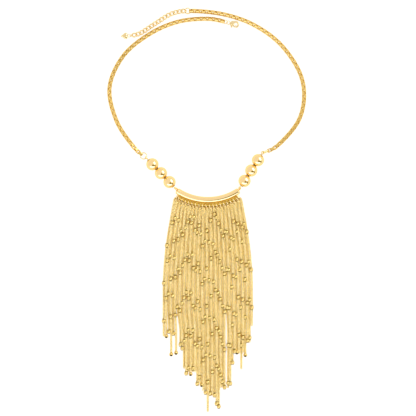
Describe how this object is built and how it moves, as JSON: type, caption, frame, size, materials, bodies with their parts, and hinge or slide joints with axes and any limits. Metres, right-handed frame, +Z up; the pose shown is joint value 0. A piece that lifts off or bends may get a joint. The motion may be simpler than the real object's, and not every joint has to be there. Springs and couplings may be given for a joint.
{
  "type": "tassel necklace",
  "caption": "Gold-tone necklace laid flat: box chain, polished balls and a curved tube bar with a long beaded chain fringe, lobster clasp and extender.",
  "frame": {"origin": "under the middle of the necklace's bounding box, on the surface that it lies on", "axes": "+Z up off the surface, +Y from the tassel's tips to the nape of the neck, +X to the right seen from above"},
  "size_m": [0.1559, 0.3175, 0.0095],
  "materials": {
    "gold": "polished gold plate",
    "pale_gold": "mirror-polished gold plate"
  },
  "bodies": {
    "necklace": {"bar": "gold", "fringe_rings": "pale_gold", "fringe": "gold", "ball_left_1": "pale_gold", "ball_left_2": "pale_gold", "ball_left_3": "pale_gold", "ball_right_1": "pale_gold", "ball_right_2": "pale_gold", "ball_right_3": "pale_gold", "ball_wire_left": "gold", "ball_wire_right": "gold", "jump_ring_left": "pale_gold", "jump_ring_right": "pale_gold", "neck_chain_left": "gold", "neck_chain_right": "gold", "clasp_ring": "pale_gold", "clasp_body": "pale_gold", "clasp_pin": "gold", "extender_ring": "pale_gold", "extender_chain": "gold", "heart_ring": "pale_gold", "heart_drop": "pale_gold"},
    "clasp_lever": {"clasp_lever": "gold"}
  },
  "joints": [
    {"name": "clasp_lever_hinge", "type": "hinge", "parent": "necklace", "child": "clasp_lever", "pos_m": [0.01969, 0.14585, 0.0012], "axis": [0, 0, 1], "range_deg": [0, 20], "stiffness_Nm_per_rad": 0.002, "springref_deg": -8.59}
  ]
}
